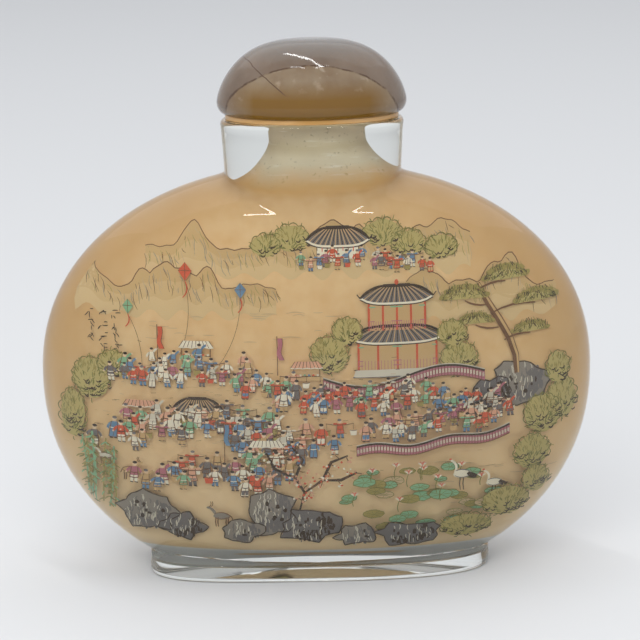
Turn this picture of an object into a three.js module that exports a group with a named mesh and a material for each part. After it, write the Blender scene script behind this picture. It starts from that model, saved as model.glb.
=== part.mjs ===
// A flattened, round-bodied glass snuff bottle on an oval foot, closed by a domed stone stopper.
// Millimetres, +Z up. The origin is at the centre of the foot's underside, and the broad painted
// faces look along -Y and +Y. Three pieces: the blown and ground glass bottle, which is hollow from
// its mouth to its floor; the stone cap; and the plug glued under the cap, whose collar the cap sits on.

import * as THREE from 'three';
import { ParametricGeometry } from 'three/addons/geometries/ParametricGeometry.js';
import { mergeVertices } from 'three/addons/utils/BufferGeometryUtils.js';

// ---------------------------------------------------------------- driving dimensions

const BODY = {
	halfWidth: 43.9, // the round face, across
	halfDepth: 19.3, // front to back, at the middle
	middle: 32, // height of the widest level
	rise: 33, // from that level to where the shoulders would close
	drop: 36, // from that level to where the underside would close
	fullness: 2.14, // of its outline: 2 is an ellipse, more is squarer
};

const NECK = {
	top: 72.3,
	halfWidth: 14.5, // at the rim; the sides draw in towards the shoulders
	halfDepth: 10.8,
	fullness: 2.4, // of its plan: a little squarer than an oval
	draw: 0.6,
	root: 62.5,
	fillet: 1.8,
	rimRound: 0.75,
};

const FOOT = {
	halfWidth: 27.3,
	halfDepth: 13.4,
	height: 2.75,
	ledge: 1.7, // above its top edge, the rise over which it has drawn in under the body all round
	fullnessLeft: 3.7, // ground by hand, so its right end is the rounder one
	fullnessRight: 2.7,
	fillet: 0.7,
	topRound: 0.3,
	edgeHeight: 0.8, // its bottom edge is rounded over; the underside is ground flat and polished
	edgeDepth: 0.5,
};

const CAVITY = {
	halfWidth: 40.7,
	halfDepth: 16.5,
	middle: 32,
	rise: 30.4,
	drop: 34,
	fullness: 2.1,
	floor: 5.2, // the flat floor cuts it off above the foot
	floorRound: 3.2,
};

const BORE = {
	radius: 6.4,
	mouthBevel: 0.35,
	straightTo: 69.4, // below this it flares out into the shoulders
	flareTo: 61.4,
	flareWidth: 5.2,
	flareDepth: 1.6,
	flareCurve: 1.5, // 1 is a plain cone
	fillet: 2.6,
	offCentre: 0.4, // ground by hand, so it starts to the right of the middle
	lean: 0.07, // and leans further that way on its way down
	centredAt: 59,
};

const COLLAR = { halfWidth: 13.7, halfDepth: 10, thickness: 0.8 };
const PLUG = { topRadius: 5.6, tipRadius: 4, length: 5.8, tipBevel: 0.5 };

const CAP = {
	halfWidth: 15,
	halfDepth: 11.4,
	height: 11.7,
	skirt: 1.9, // height of its widest level above its flat underside
	underRound: 1.4,
	flank: 1.5, // low for sloping sides
	crown: 2.95, // high for a flat top
};

const SIDES = { bottle: 56, cap: 44, plug: 32 }; // facets round each piece
const STEPS = { below: 8, above: 11, cavity: 16, cap: 10 }; // rings up each curved stretch

// ---------------------------------------------------------------- cross-sections

// How far a superellipse of these half-axes reaches in one direction from its centre.
function reach(angle, { a, b, n }) {
	return (Math.abs(Math.cos(angle) / a) ** n + Math.abs(Math.sin(angle) / b) ** n) ** (-1 / n);
}

// The larger of two reaches, rounded over where they meet.
function joined(p, q, fillet) {
	const close = Math.max(fillet - Math.abs(p - q), 0) / fillet;
	return Math.max(p, q) + (close * close * fillet) / 4;
}

// How much of its full width a rounded form has kept at a given height.
function kept(z, form) {
	const share = Math.min(Math.abs(z - form.middle) / (z > form.middle ? form.rise : form.drop), 1);
	return Math.max((1 - share ** form.fullness) ** (1 / form.fullness), 1e-4);
}

const oval = (a, b) => ({ a, b, n: 2 });

function roundedAt(z, form) {
	return oval(form.halfWidth * kept(z, form), form.halfDepth * kept(z, form));
}

function neckPlan(narrower, shallower) {
	return { a: NECK.halfWidth - narrower, b: NECK.halfDepth - shallower, n: NECK.fullness };
}

function neckAt(z) {
	const drawnIn = NECK.draw * THREE.MathUtils.clamp((NECK.top - z) / (NECK.top - NECK.root), 0, 1);
	return neckPlan(drawnIn, drawnIn * 0.6);
}

function footReach(angle, inset) {
	const n = Math.cos(angle) < 0 ? FOOT.fullnessLeft : FOOT.fullnessRight;
	return reach(angle, { a: FOOT.halfWidth - inset, b: FOOT.halfDepth - inset, n });
}

// How far the foot has drawn in at a given height: not at all up its wall, then over its rounded
// top edge, and from there along the ledge that the body stands on.
function footInset(z) {
	const over = z - FOOT.height + FOOT.topRound;
	if (over < 0) return 0;
	if (over < FOOT.topRound) return FOOT.topRound - Math.sqrt(FOOT.topRound ** 2 - over ** 2);
	return FOOT.topRound + (over - FOOT.topRound) * 9;
}

function boreAt(z) {
	const down = THREE.MathUtils.clamp((BORE.straightTo - z) / (BORE.straightTo - BORE.flareTo), 0, 1);
	const flare = down ** BORE.flareCurve;
	return oval(BORE.radius + BORE.flareWidth * flare, BORE.radius + BORE.flareDepth * flare);
}

// How far to the right of the middle the bore lies at a given height. The hollow under it is centred.
function boreShift(z) {
	const still = THREE.MathUtils.smoothstep(z, BORE.centredAt, BORE.centredAt + 6);
	return (BORE.offCentre + BORE.lean * (NECK.top - z)) * still;
}

// ---------------------------------------------------------------- lofting

// A closed surface through rings, each { z, out, shift }: out(angle) is its reach from the axis, or
// from shift to the right of it where shift is given. The first and last rings close on the axis. Angles are spread so that a flattened section gets even facets.
function loft(rings, sides, flatness) {
	const surface = (u, v, target) => {
		const ring = rings[Math.round(v * (rings.length - 1))];
		const turn = Math.round(u * sides) % sides * 2 * Math.PI / sides;
		const angle = Math.atan2(flatness * Math.sin(turn), Math.cos(turn));
		const r = ring.out ? ring.out(angle) : 0;
		target.set(r * Math.cos(angle) + (ring.shift ?? 0), r * Math.sin(angle), ring.z);
	};
	const geometry = new ParametricGeometry(surface, sides, rings.length - 1);
	geometry.deleteAttribute('normal');
	geometry.deleteAttribute('uv');
	const closed = mergeVertices(geometry, 1e-4);
	closed.computeVertexNormals();
	return closed;
}

// Heights between two levels of a rounded form, closer together where it turns in.
function levels(form, from, to, steps) {
	const turnAt = (z) => {
		const span = z > form.middle ? form.rise : form.drop;
		return Math.asin(THREE.MathUtils.clamp((z - form.middle) / span, -1, 1));
	};
	const heightAt = (t) => form.middle + (t > 0 ? form.rise : form.drop) * Math.sin(t);
	const [first, last] = [turnAt(from), turnAt(to)];
	return Array.from({ length: steps + 1 }, (_, i) => heightAt(first + (last - first) * i / steps));
}

const at = (z, section) => ({ z, out: (angle) => reach(angle, section) });
const point = (z) => ({ z, out: null });

// ---------------------------------------------------------------- the bottle

function undersideRings() {
	const rings = [point(0)];
	for (const turn of [0, 30, 60, 90].map(THREE.MathUtils.degToRad)) {
		const inset = FOOT.edgeDepth * (1 - Math.sin(turn));
		const z = FOOT.edgeHeight * (1 - Math.cos(turn));
		rings.push({ z, out: (angle) => footReach(angle, inset) });
	}
	return rings;
}

function outerRings() {
	const onFoot = (angle, z) =>
		joined(reach(angle, roundedAt(z, BODY)), footReach(angle, footInset(z)), FOOT.fillet);
	const onNeck = (angle, z) =>
		joined(reach(angle, roundedAt(z, BODY)), reach(angle, neckAt(z)), NECK.fillet);
	const bodyFrom = FOOT.height + FOOT.ledge;
	const rings = [];
	for (const over of [-FOOT.topRound, -0.05, 0, 0.12, 0.3, 0.6, 1.1])
		rings.push({ z: FOOT.height + over, out: (angle) => onFoot(angle, FOOT.height + over) });
	for (const z of levels(BODY, bodyFrom, BODY.middle, STEPS.below))
		rings.push(at(z, roundedAt(z, BODY)));
	for (const z of levels(BODY, BODY.middle, 58.2, STEPS.above).slice(1))
		rings.push(at(z, roundedAt(z, BODY)));
	for (const z of [59.4, 60.4, 61.2, 62, 62.7, 63.4, 64.4, 67.5])
		rings.push({ z, out: (angle) => onNeck(angle, z) });
	return rings;
}

function rimRings() {
	const lip = (inset) => neckPlan(inset, inset);
	const mouth = (z, more) => {
		const section = oval(BORE.radius + more, BORE.radius + more);
		return { ...at(z, section), shift: boreShift(z) };
	};
	return [
		at(NECK.top - NECK.rimRound, lip(0)),
		at(NECK.top - NECK.rimRound * 0.3, lip(NECK.rimRound * 0.3)),
		at(NECK.top, lip(NECK.rimRound)),
		mouth(NECK.top, BORE.mouthBevel),
		mouth(NECK.top - BORE.mouthBevel, 0),
	];
}

function innerRings() {
	const inside = (angle, z) =>
		joined(reach(angle, roundedAt(z, CAVITY)), reach(angle, boreAt(z)), BORE.fillet);
	const wallEnd = CAVITY.floor + CAVITY.floorRound;
	const rings = [];
	for (const z of [BORE.straightTo, 67.6, 65.8, 64, BORE.flareTo, 61.4, 60.6, 59.8])
		rings.push({ z, out: (angle) => inside(angle, z), shift: boreShift(z) });
	for (const z of levels(CAVITY, 58.8, wallEnd, STEPS.cavity)) {
		const underBore = z > CAVITY.middle + CAVITY.rise * 0.7;
		rings.push(underBore ? { z, out: (angle) => inside(angle, z) } : at(z, roundedAt(z, CAVITY)));
	}
	for (const turn of [30, 60, 90].map(THREE.MathUtils.degToRad)) {
		const { a, b } = roundedAt(wallEnd, CAVITY);
		const inset = CAVITY.floorRound * (1 - Math.cos(turn));
		rings.push(at(wallEnd - CAVITY.floorRound * Math.sin(turn), oval(a - inset, b - inset)));
	}
	rings.push(point(CAVITY.floor));
	return rings;
}

function bottle() {
	const rings = [...undersideRings(), ...outerRings(), ...rimRings(), ...innerRings()];
	const glass = new THREE.MeshStandardMaterial({
		color: 0xd9b98a, roughness: 0.05, metalness: 0, transparent: true, opacity: 0.6,
	});
	const mesh = new THREE.Mesh(loft(rings, SIDES.bottle, 0.62), glass);
	mesh.name = 'bottle';
	return mesh;
}

// ---------------------------------------------------------------- the stopper

// Its frame stands on the neck's rim.
function plug() {
	const stem = (radius) => oval(radius, radius);
	const collar = (inset) => oval(COLLAR.halfWidth - inset, COLLAR.halfDepth - inset);
	const rings = [
		point(-PLUG.length),
		at(-PLUG.length, stem(PLUG.tipRadius - PLUG.tipBevel)),
		at(-PLUG.length + PLUG.tipBevel, stem(PLUG.tipRadius)),
		at(0, stem(PLUG.topRadius)),
		at(0, collar(0.1)),
		at(0.1, collar(0)),
		at(COLLAR.thickness - 0.1, collar(0)),
		at(COLLAR.thickness, collar(0.1)),
		point(COLLAR.thickness),
	];
	const horn = new THREE.MeshStandardMaterial({ color: 0xb07a3c, roughness: 0.5, metalness: 0 });
	const mesh = new THREE.Mesh(loft(rings, SIDES.plug, 0.8), horn);
	mesh.name = 'stopper_plug';
	return mesh;
}

// Its frame stands on the collar.
function cap() {
	const swell = CAP.height - CAP.skirt;
	const section = (k) => oval(CAP.halfWidth * k, CAP.halfDepth * k);
	const under = (inset) => oval(CAP.halfWidth - inset, CAP.halfDepth - inset);
	const rings = [point(0)];
	for (const turn of [0, 30, 60, 90].map(THREE.MathUtils.degToRad))
		rings.push(at(CAP.skirt * (1 - Math.cos(turn)), under(CAP.underRound * (1 - Math.sin(turn)))));
	for (let i = 1; i <= STEPS.cap; i++) {
		const k = Math.cos(Math.PI / 2 * i / (STEPS.cap + 1));
		rings.push(at(CAP.skirt + swell * (1 - k ** CAP.crown) ** (1 / CAP.flank), section(k)));
	}
	rings.push(point(CAP.height));
	const agate = new THREE.MeshStandardMaterial({ color: 0x8a7462, roughness: 0.12, metalness: 0 });
	const mesh = new THREE.Mesh(loft(rings, SIDES.cap, 0.8), agate);
	mesh.name = 'stopper_cap';
	mesh.position.z = COLLAR.thickness;
	return mesh;
}

const stopper = new THREE.Group();
stopper.position.z = NECK.top;
stopper.add(plug(), cap());

const snuffBottle = new THREE.Group();
snuffBottle.add(bottle(), stopper);

export default snuffBottle;
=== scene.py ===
# An inside-painted snuff bottle: clear glass, ground and painted within, under a polished agate stopper.
# The glass, the stopper and the painted lining are lofted from the same few sizes as the frame's solids.
# Shapes are worked out in millimetres and turned to metres when their meshes are made.

import math
import random
from dataclasses import dataclass

import bmesh
import bpy
from mathutils import Matrix, Vector


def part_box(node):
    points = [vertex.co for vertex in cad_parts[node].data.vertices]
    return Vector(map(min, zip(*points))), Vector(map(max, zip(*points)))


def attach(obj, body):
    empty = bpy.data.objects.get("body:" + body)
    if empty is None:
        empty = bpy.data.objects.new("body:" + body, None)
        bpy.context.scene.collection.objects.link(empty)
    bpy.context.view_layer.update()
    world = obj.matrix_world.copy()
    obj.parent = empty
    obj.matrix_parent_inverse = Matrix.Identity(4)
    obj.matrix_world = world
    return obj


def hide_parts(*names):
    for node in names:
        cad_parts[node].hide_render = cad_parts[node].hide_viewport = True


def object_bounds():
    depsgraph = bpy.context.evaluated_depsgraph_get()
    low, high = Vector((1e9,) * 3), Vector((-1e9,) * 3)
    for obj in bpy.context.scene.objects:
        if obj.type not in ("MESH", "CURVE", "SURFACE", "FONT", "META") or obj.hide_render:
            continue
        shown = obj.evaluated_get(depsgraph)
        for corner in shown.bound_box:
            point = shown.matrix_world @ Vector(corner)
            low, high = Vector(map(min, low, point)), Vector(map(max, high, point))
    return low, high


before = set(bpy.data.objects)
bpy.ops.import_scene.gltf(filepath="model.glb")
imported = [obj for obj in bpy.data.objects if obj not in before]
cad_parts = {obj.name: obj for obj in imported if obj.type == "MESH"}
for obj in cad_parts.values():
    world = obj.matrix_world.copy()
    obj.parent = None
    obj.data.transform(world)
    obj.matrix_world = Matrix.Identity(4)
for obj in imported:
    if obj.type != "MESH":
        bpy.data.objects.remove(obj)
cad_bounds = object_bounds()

MM = 0.001
BODY_NAME = "root"


# ---------------------------------------------------------------- sizes

def box_in_mm(node):
    return [Vector(corner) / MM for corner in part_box(node)]


def spaced(low, high, steps):
    return [low + (high - low) * i / steps for i in range(steps + 1)]


def clamp01(x):
    return max(0.0, min(1.0, x))


def reach(angle, a, b, n=2.0):
    """How far a superellipse of half-axes a and b reaches from its centre in one direction."""
    return (abs(math.cos(angle) / a) ** n + abs(math.sin(angle) / b) ** n) ** (-1 / n)


def joined(p, q, fillet):
    """The larger of two reaches, rounded over where they meet."""
    close = max(fillet - abs(p - q), 0.0) / fillet
    return max(p, q) + close * close * fillet / 4


@dataclass
class Round:
    """A flattened round form: its outline is a superellipse in height and an ellipse around."""
    half_width: float
    half_depth: float
    middle: float
    rise: float
    drop: float
    fullness: float

    def kept(self, z):
        """The share of its width and depth that the form keeps at a height."""
        span = self.rise if z > self.middle else self.drop
        share = min(abs(z - self.middle) / span, 1.0)
        return max(1 - share ** self.fullness, 1e-12) ** (1 / self.fullness)

    def reach(self, angle, z, grow=0.0):
        k = self.kept(z)
        return reach(angle, self.half_width * k + grow, self.half_depth * k + grow)

    def levels(self, low, high, steps):
        """Heights from low to high, closer together where the form turns in."""
        def turn(z):
            span = self.rise if z > self.middle else self.drop
            return math.asin(max(-1.0, min((z - self.middle) / span, 1.0)))
        return [self.middle + (self.rise if t > 0 else self.drop) * math.sin(t)
                for t in spaced(turn(low), turn(high), steps)]


GLASS_LOW, GLASS_HIGH = box_in_mm("bottle")
CAP_LOW, CAP_HIGH = box_in_mm("stopper_cap")
PLUG_LOW, PLUG_HIGH = box_in_mm("stopper_plug")
RIM = GLASS_HIGH.z

BODY = Round((GLASS_HIGH.x - GLASS_LOW.x) / 2, (GLASS_HIGH.y - GLASS_LOW.y) / 2,
             middle=32.0, rise=33.0, drop=36.0, fullness=2.14)
END_WALL, FACE_WALL = 3.2, 2.8
CAVITY = Round(BODY.half_width - END_WALL, BODY.half_depth - FACE_WALL,
               middle=32.0, rise=30.4, drop=34.0, fullness=2.1)
FLOOR, FLOOR_ROUND = 5.2, 3.2

NECK_HALF_WIDTH, NECK_HALF_DEPTH, NECK_FULLNESS = 14.5, 10.8, 2.4
NECK_DRAW, NECK_DEPTH_DRAW, NECK_ROOT = 0.6, 0.36, 62.5
NECK_FILLET, RIM_ROUND = 1.8, 0.75

FOOT_HALF_WIDTH, FOOT_HALF_DEPTH, FOOT_HEIGHT = 27.3, 13.4, 2.75
FOOT_FULLNESS_LEFT, FOOT_FULLNESS_RIGHT = 3.7, 2.7
FOOT_FILLET, FOOT_TOP_ROUND, LEDGE_RUN = 0.7, 0.3, 9
FOOT_EDGE_HEIGHT, FOOT_EDGE_DEPTH = 0.8, 0.5

BORE_RADIUS, BORE_BEVEL, BORE_STRAIGHT, BORE_FLARE = 6.4, 0.35, 69.4, 61.4
FLARE_WIDTH, FLARE_DEPTH, FLARE_CURVE, BORE_FILLET = 5.2, 1.6, 1.5, 2.6
BORE_OFF_CENTRE, BORE_LEAN, BORE_CENTRED, BORE_EASE = 0.4, 0.07, 59.0, 6


def neck_reach(angle, z, inset=0.0):
    down = clamp01((RIM - z) / (RIM - NECK_ROOT))
    return reach(angle, NECK_HALF_WIDTH - NECK_DRAW * down - inset,
                 NECK_HALF_DEPTH - NECK_DEPTH_DRAW * down - inset, NECK_FULLNESS)


def foot_reach(angle, inset):
    n = FOOT_FULLNESS_LEFT if math.cos(angle) < 0 else FOOT_FULLNESS_RIGHT
    return reach(angle, FOOT_HALF_WIDTH - inset, FOOT_HALF_DEPTH - inset, n)


def foot_inset(z):
    """None up the foot's wall, then over its rounded top edge and in along the ledge."""
    over = z - FOOT_HEIGHT + FOOT_TOP_ROUND
    if over < 0:
        return 0.0
    if over < FOOT_TOP_ROUND:
        return FOOT_TOP_ROUND - math.sqrt(FOOT_TOP_ROUND ** 2 - over ** 2)
    return FOOT_TOP_ROUND + (over - FOOT_TOP_ROUND) * LEDGE_RUN


def bore_reach(angle, z, grow=0.0):
    flare = clamp01((BORE_STRAIGHT - z) / (BORE_STRAIGHT - BORE_FLARE)) ** FLARE_CURVE
    return reach(angle, BORE_RADIUS + FLARE_WIDTH * flare + grow, BORE_RADIUS + FLARE_DEPTH * flare + grow)


def bore_shift(z):
    """How far to the right of the middle the hand-ground bore lies."""
    still = clamp01((z - BORE_CENTRED) / BORE_EASE)
    return (BORE_OFF_CENTRE + BORE_LEAN * (RIM - z)) * still * still * (3 - 2 * still)


def inside_reach(angle, z, grow=0.0):
    """The hollow's wall: the cavity, the flare and the bore in one."""
    return joined(CAVITY.reach(angle, z, grow), bore_reach(angle, z, grow), BORE_FILLET)


# ---------------------------------------------------------------- lofting

def loft(rings, sides, flatness):
    """A bmesh grown ring by ring from one circle. A ring is (height, reach function, shift to the right),
    with no shift for 0 and None for a pole's reach. Its corners crowd to the ends as flatness falls."""
    bm = bmesh.new()
    turn = bm.verts.layers.float.new("turn")
    ring = bmesh.ops.create_circle(bm, cap_ends=False, radius=1.0, segments=sides)["verts"]
    for v in ring:
        v[turn] = math.atan2(flatness * v.co.y, v.co.x)
    edges = bm.edges[:]

    def place(verts, z, out, shift=0.0):
        for v in verts:
            r = out(v[turn]) if out else 0.0
            v.co = Vector((r * math.cos(v[turn]) + shift, r * math.sin(v[turn]), z)) * MM

    place(ring, *rings[0])
    first = ring[:]
    for ring_form in rings[1:]:
        grown = bmesh.ops.extrude_edge_only(bm, edges=edges)["geom"]
        ring = [g for g in grown if isinstance(g, bmesh.types.BMVert)]
        new = set(ring)
        edges = [g for g in grown if isinstance(g, bmesh.types.BMEdge) and set(g.verts) <= new]
        place(ring, *ring_form)
    for pole in (first, ring):
        bmesh.ops.pointmerge(bm, verts=pole, merge_co=pole[0].co.copy())
    bmesh.ops.recalc_face_normals(bm, faces=bm.faces)
    return bm


def finished(bm, name, materials, smooth_below=35):
    mesh = bpy.data.meshes.new(name)
    bm.to_mesh(mesh)
    bm.free()
    for face in mesh.polygons:
        face.use_smooth = True
    mesh.set_sharp_from_angle(angle=math.radians(smooth_below))
    for material in materials:
        mesh.materials.append(material)
    piece = bpy.data.objects.new(name, mesh)
    bpy.context.scene.collection.objects.link(piece)
    return piece


# ---------------------------------------------------------------- materials

def colour(hex_code):
    """An sRGB hex colour as the linear values that a shader takes."""
    def linear(c):
        return c / 12.92 if c <= 0.04045 else ((c + 0.055) / 1.055) ** 2.4
    return tuple(linear(int(hex_code[i:i + 2], 16) / 255) for i in (0, 2, 4)) + (1.0,)


def under_glass(hex_code):
    """The pigment that looks like this colour through the wall. Paint that touches glass loses more than
    half its light inside the glass, so the pigment is lighter than it looks."""
    lost = 0.60
    return tuple(c / (1 - lost + lost * c) for c in colour(hex_code)[:3]) + (1.0,)


def give(material, node, inputs):
    """Each input gets a plain value, an output of another node, or another node's first output."""
    for key, value in inputs.items():
        if isinstance(value, bpy.types.Node):
            value = value.outputs[0]
        if isinstance(value, bpy.types.NodeSocket):
            material.node_tree.links.new(value, node.inputs[key])
        else:
            node.inputs[key].default_value = value


def add(material, kind, inputs, **settings):
    """Adds a node with its settings and its inputs."""
    node = material.node_tree.nodes.new(kind)
    for key, value in settings.items():
        setattr(node, key, value)
    give(material, node, inputs)
    return node


def new_material(name, plain):
    """A material whose shader has these plain values all over."""
    material = bpy.data.materials.new(name)
    material.use_nodes = True
    shader = material.node_tree.nodes["Principled BSDF"]
    give(material, shader, plain)
    return material, shader


def laid_over(material, base, layers, tint):
    """Colours laid over a base in turn. A layer is its colour, its strength, and ranges as (pattern,
    none here, full here): it shows where it is inside all of them. tint turns hex codes to colours."""
    base = tint(base) if isinstance(base, str) else base
    for code, strength, *ranges in layers:
        share = strength
        for pattern, none_at, full_at in ranges:
            inside = add(material, "ShaderNodeMapRange",
                         {"Value": pattern, "From Min": none_at, "From Max": full_at})
            share = add(material, "ShaderNodeMath", {0: share, 1: inside}, operation="MULTIPLY")
        over = tint(code) if isinstance(code, str) else code
        base = add(material, "ShaderNodeMix", {0: share, 6: base, 7: over}, data_type="RGBA").outputs[2]
    return base


def clear_glass():
    """Lead-free crystal, blown, ground and flame polished: colourless, with hard bright reflections."""
    material, _ = new_material("clear_glass_polished", {
        "Base Color": colour("FBFDFA"), "Transmission Weight": 1.0, "Roughness": 0.0, "IOR": 1.5})
    return material


def inner_ground():
    """Water-based ochre ground on sand-ground glass: matt and warm, a little uneven, painted paler low down
    to make up for the shade on the lower body. The bore is bare, greenish and scratched, with a ring of
    painted shade where the plug sits. The floor is bare and white but for a pool in its middle."""
    material, shader = new_material("ochre_ground_on_ground_glass", {"Roughness": 0.8})
    where = add(material, "ShaderNodeTexCoord", {}).outputs["Object"]
    height = add(material, "ShaderNodeSeparateXYZ", {0: where}).outputs["Z"]
    # clouds of ochre 15 mm across, brush marks 3 mm across, and specks and long scratches finer than 1 mm
    cloud = add(material, "ShaderNodeTexNoise", {"Vector": where, "Scale": 1 / (15.4 * MM), "Detail": 3.0})
    brushed = add(material, "ShaderNodeTexNoise", {"Vector": where, "Scale": 1 / (3.03 * MM), "Detail": 2.0})
    speck = add(material, "ShaderNodeTexNoise", {"Vector": where, "Scale": 1.5 / MM, "Detail": 4.0})
    flat = add(material, "ShaderNodeMapping", {"Vector": where, "Scale": (0.18 / MM, 0.18 / MM, 1.5 / MM)})
    scratch = add(material, "ShaderNodeTexNoise", {"Vector": flat, "Scale": 1.0, "Detail": 3.0})

    # the ring of painted shade round the plug and the paint's brushed upper edge both wander up and down with
    # the clouds
    ring = add(material, "ShaderNodeMath", {0: cloud, 1: 3 * MM, 2: height}, operation="MULTIPLY_ADD")
    off_plug_shade = add(material, "ShaderNodeMath", {0: ring, 1: 70 * MM}, operation="SUBTRACT")
    off_plug_shade = add(material, "ShaderNodeMath", {0: off_plug_shade}, operation="ABSOLUTE")
    edge = add(material, "ShaderNodeMath", {0: cloud, 1: 6 * MM, 2: height}, operation="MULTIPLY_ADD")
    edge = add(material, "ShaderNodeMath", {0: brushed, 1: 0.8 * MM, 2: edge}, operation="MULTIPLY_ADD")

    # how far out a spot is on the broad face, where 1 is the body's outline
    middle, outline = (0, 0, BODY.middle * MM), (1 / (BODY.half_width * MM), 0, 1 / (BODY.rise * MM))
    spot = add(material, "ShaderNodeVectorMath", {0: where, 1: middle}, operation="SUBTRACT")
    spot = add(material, "ShaderNodeVectorMath", {0: spot, 1: outline}, operation="MULTIPLY")
    outward = add(material, "ShaderNodeVectorMath", {0: spot}, operation="LENGTH").outputs["Value"]
    parts = add(material, "ShaderNodeSeparateXYZ", {0: spot}).outputs
    sideways = add(material, "ShaderNodeMath", {0: parts["X"]}, operation="ABSOLUTE")

    # how far out a spot is on the floor, whose pool of paint is an oval
    pool = add(material, "ShaderNodeVectorMath", {0: where, 1: (0.42, 1, 0)}, operation="MULTIPLY")
    pool = add(material, "ShaderNodeVectorMath", {0: pool}, operation="LENGTH").outputs["Value"]

    bare = laid_over(material, "BFAF8A", [
        ("A89873", 1.0, (cloud, 0.4, 0.7)),
        ("D2C8AC", 1.0, (scratch, 0.60, 0.72)),
        ("857A5C", 1.0, (speck, 0.62, 0.72)),
        # painted shade: a darker ring in the bore where the plug sits
        ("94835A", 0.55, (off_plug_shade, 1.6 * MM, 0.2 * MM))], under_glass)
    ground = laid_over(material, "D59D64", [
        ("DCA86F", 1.0, (cloud, 0.35, 0.65)),
        ("CA8F56", 1.0, (brushed, 0.35, 0.9)),
        # painted light: paler low down, where the lower body faces the floor and gets less light
        ("EFBF86", 0.75, (height, 34 * MM, 6 * MM)),
        # painted shade: browner round the ends of the hollow and on its shoulders
        ("AC7A46", 0.80, (outward, 0.70, 0.90), (sideways, 0.15, 0.45), (parts["Z"], -0.6, 0.3)),
        ("B9803F", 1.0, (edge, 63.6 * MM, 65.8 * MM)),
        (bare, 1.0, (edge, 65.4 * MM, 69.0 * MM)),
        ("F4F4F0", 1.0, (pool, 4.8 * MM, 5.6 * MM), (height, 5.5 * MM, 5.3 * MM))], under_glass)
    give(material, shader, {"Base Color": ground})
    return material


def brushed_colour(name, hex_code):
    """Gum-bound pigment on ground glass, pressed flat against it: wholly matt, one plain colour a stroke."""
    material, _ = new_material("pigment_" + name, {
        "Base Color": under_glass(hex_code), "Roughness": 0.9, "Specular IOR Level": 0.0})
    return material


def agate():
    """Grey-brown agate, cut and tumbled to a slightly uneven high polish: cloudy, with a paler rind, a dark
    line where the rind ends, and an amber heart low down, painted in where the amber collar shows through the
    clearer stone."""
    material, shader = new_material("agate_polished", {
        "Roughness": 0.06, "IOR": 1.54, "Subsurface Weight": 0.25, "Subsurface Radius": (1.0, 0.6, 0.35),
        "Subsurface Scale": 2 * MM})
    where = add(material, "ShaderNodeTexCoord", {}).outputs["Object"]
    # clouds 7 mm across, and finer mottling 1.4 mm across
    cloud = add(material, "ShaderNodeTexNoise",
                {"Vector": where, "Scale": 1 / (7.14 * MM), "Detail": 5.0, "Roughness": 0.55})
    fine = add(material, "ShaderNodeTexNoise", {"Vector": where, "Scale": 1 / (1.43 * MM), "Detail": 3.0})
    # centred on the stone's base, in units of its amber dome, whose edge wanders with the clouds
    dome = add(material, "ShaderNodeMapping", {
        "Vector": where, "Location": (0, 0, CAP_LOW.z * MM), "Scale": (13.6 * MM, 20 * MM, 8.3 * MM)},
        vector_type="TEXTURE")
    parts = add(material, "ShaderNodeSeparateXYZ", {0: dome}).outputs
    across, up = parts["X"], parts["Z"]
    sideways = add(material, "ShaderNodeMath", {0: across}, operation="ABSOLUTE")
    face = add(material, "ShaderNodeVectorMath", {0: dome, 1: (1, 0, 1)}, operation="MULTIPLY")
    out = add(material, "ShaderNodeVectorMath", {0: face}, operation="LENGTH").outputs["Value"]
    out = add(material, "ShaderNodeMath", {0: out, 1: 0.05}, operation="SUBTRACT")
    out = add(material, "ShaderNodeMath", {0: cloud, 1: 0.10, 2: out}, operation="MULTIPLY_ADD")
    off_line = add(material, "ShaderNodeMath", {0: out, 1: 0.995}, operation="SUBTRACT")
    off_line = add(material, "ShaderNodeMath", {0: off_line}, operation="ABSOLUTE")
    # a crack slants across the left of the face
    off_crack = add(material, "ShaderNodeMath", {0: across, 1: 1.25, 2: up}, operation="MULTIPLY_ADD")
    bend = add(material, "ShaderNodeMath", {0: cloud, 1: 0.25}, operation="MULTIPLY")
    off_crack = add(material, "ShaderNodeMath", {0: off_crack, 1: bend}, operation="SUBTRACT")
    off_crack = add(material, "ShaderNodeMath", {0: off_crack}, operation="ABSOLUTE")

    rind = laid_over(material, "645344", [("726254", 1.0, (cloud, 0.35, 0.65))], colour)
    stone = laid_over(material, "735F49", [
        ("867660", 1.0, (cloud, 0.38, 0.62)),
        ("93836F", 1.0, (fine, 0.60, 0.75)),
        # painted light: the amber collar as it shows through the stone's lower middle, deepest where the
        # stone is thickest
        ("6E4E12", 1.0, (up, 0.74, 0.38), (sideways, 0.95, 0.66)),
        (rind, 1.0, (out, 0.985, 1.015)),
        ("46301F", 1.0, (off_line, 0.020, 0.004), (fine, 0.3, 0.55)),
        ("4E3828", 1.0, (off_crack, 0.020, 0.006), (up, 0.45, 0.55)),
        ("6C645D", 1.0, (up, 1.02, 1.36))], colour)
    swell = add(material, "ShaderNodeBump", {"Height": cloud, "Strength": 0.10, "Distance": 1 * MM})
    give(material, shader, {"Base Color": stone, "Normal": swell})
    return material


def amber_horn():
    """Amber-coloured horn, cut flat and buffed: warm, softly shiny, in thin level streaks."""
    material, shader = new_material("amber_horn_collar", {"Roughness": 0.3})
    where = add(material, "ShaderNodeTexCoord", {}).outputs["Object"]
    # streaks 11 mm long and 2 mm thick
    streaks = add(material, "ShaderNodeMapping", {"Vector": where, "Scale": (0.09 / MM, 0.09 / MM, 0.5 / MM)})
    grain = add(material, "ShaderNodeTexNoise", {"Vector": streaks, "Scale": 1.0, "Detail": 3.0})
    horn = laid_over(material, "B98A45", [("CDA36C", 1.0, (grain, 0.38, 0.62))], colour)
    give(material, shader, {"Base Color": horn})
    return material


# ---------------------------------------------------------------- the glass

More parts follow.
